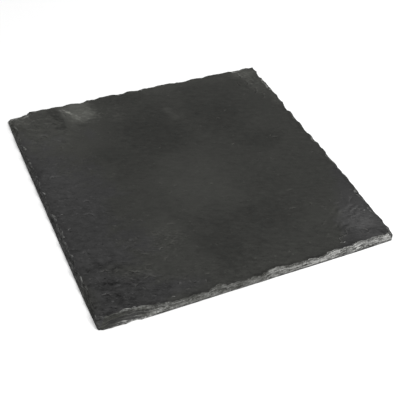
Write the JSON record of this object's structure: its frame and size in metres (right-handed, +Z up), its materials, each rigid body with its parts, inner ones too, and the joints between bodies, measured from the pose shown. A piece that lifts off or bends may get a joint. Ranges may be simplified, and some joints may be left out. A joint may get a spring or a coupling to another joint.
{
  "type": "slate slab",
  "caption": "Thin square plate of split slate with a cleft top face, a flat underside and chipped, layered edges.",
  "frame": {"origin": "centre of the flat underside", "axes": "+Z up through the thickness, towards the cleft top face; +X along the front side, from left to right; +Y from the front side to the back"},
  "size_m": [0.2498, 0.25, 0.0062],
  "materials": {
    "slate": "natural cleft, matt, with paler broken edges"
  },
  "bodies": {
    "root": {"slab": "slate"}
  },
  "joints": []
}
